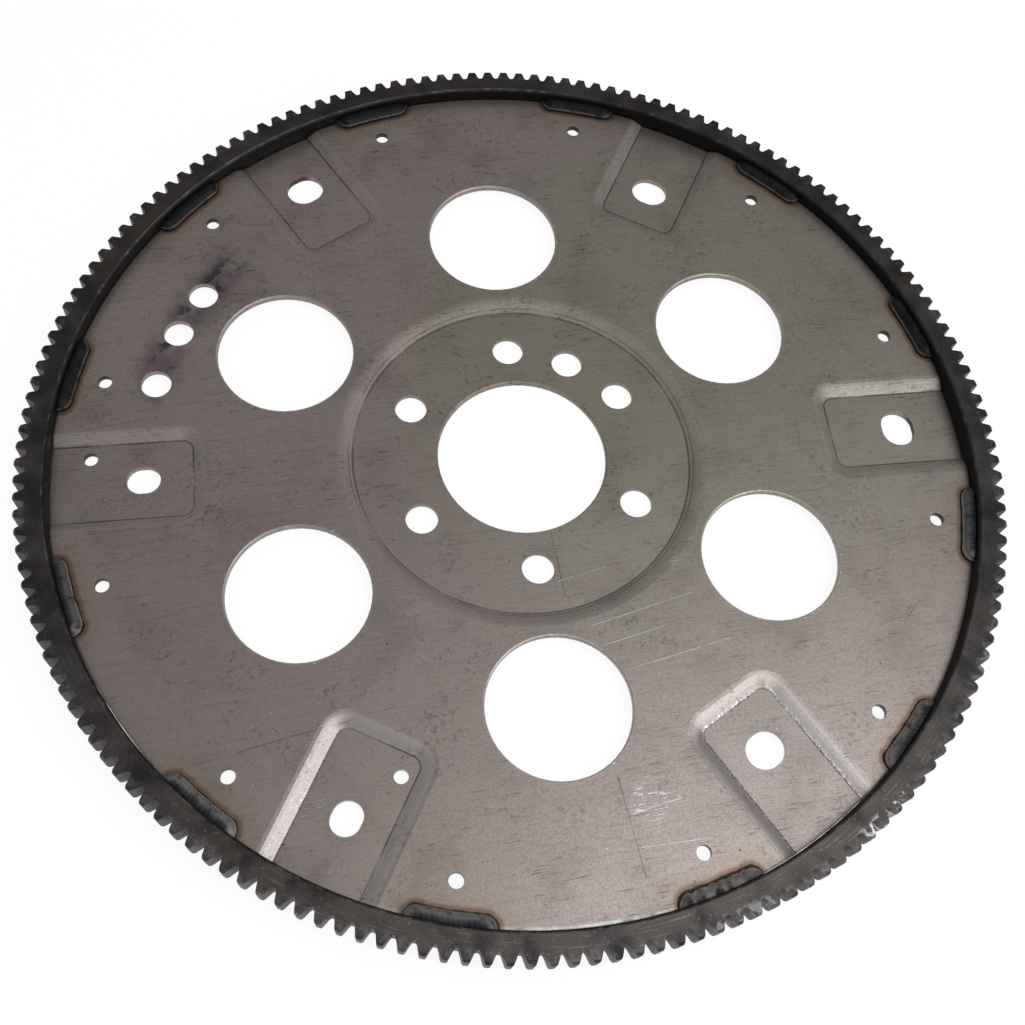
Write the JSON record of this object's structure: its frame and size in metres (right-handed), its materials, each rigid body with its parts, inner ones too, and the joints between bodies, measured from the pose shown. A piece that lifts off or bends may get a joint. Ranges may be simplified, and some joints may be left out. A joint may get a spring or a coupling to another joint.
{
  "type": "flexplate",
  "caption": "Pressed steel drive plate with a recessed hub, recessed converter pads, round lightening holes and a welded starter ring gear.",
  "frame": {"origin": "centre of the crank pilot hole, on the back face of the hub disc", "axes": "+Z along the crank axis towards the side from which the ring stands proud, +X towards a converter pad on the larger bolt circle"},
  "size_m": [0.3592, 0.3592, 0.0109],
  "materials": {
    "plate_steel": "bare rolled steel with scratches and heat tint",
    "ring_scale": "near-black hardening scale, worn at the teeth",
    "weld_metal": "dull grey weld metal"
  },
  "bodies": {
    "root": {"flex_plate": "plate_steel", "ring_gear": "ring_scale", "weld_beads": "weld_metal"}
  },
  "joints": []
}
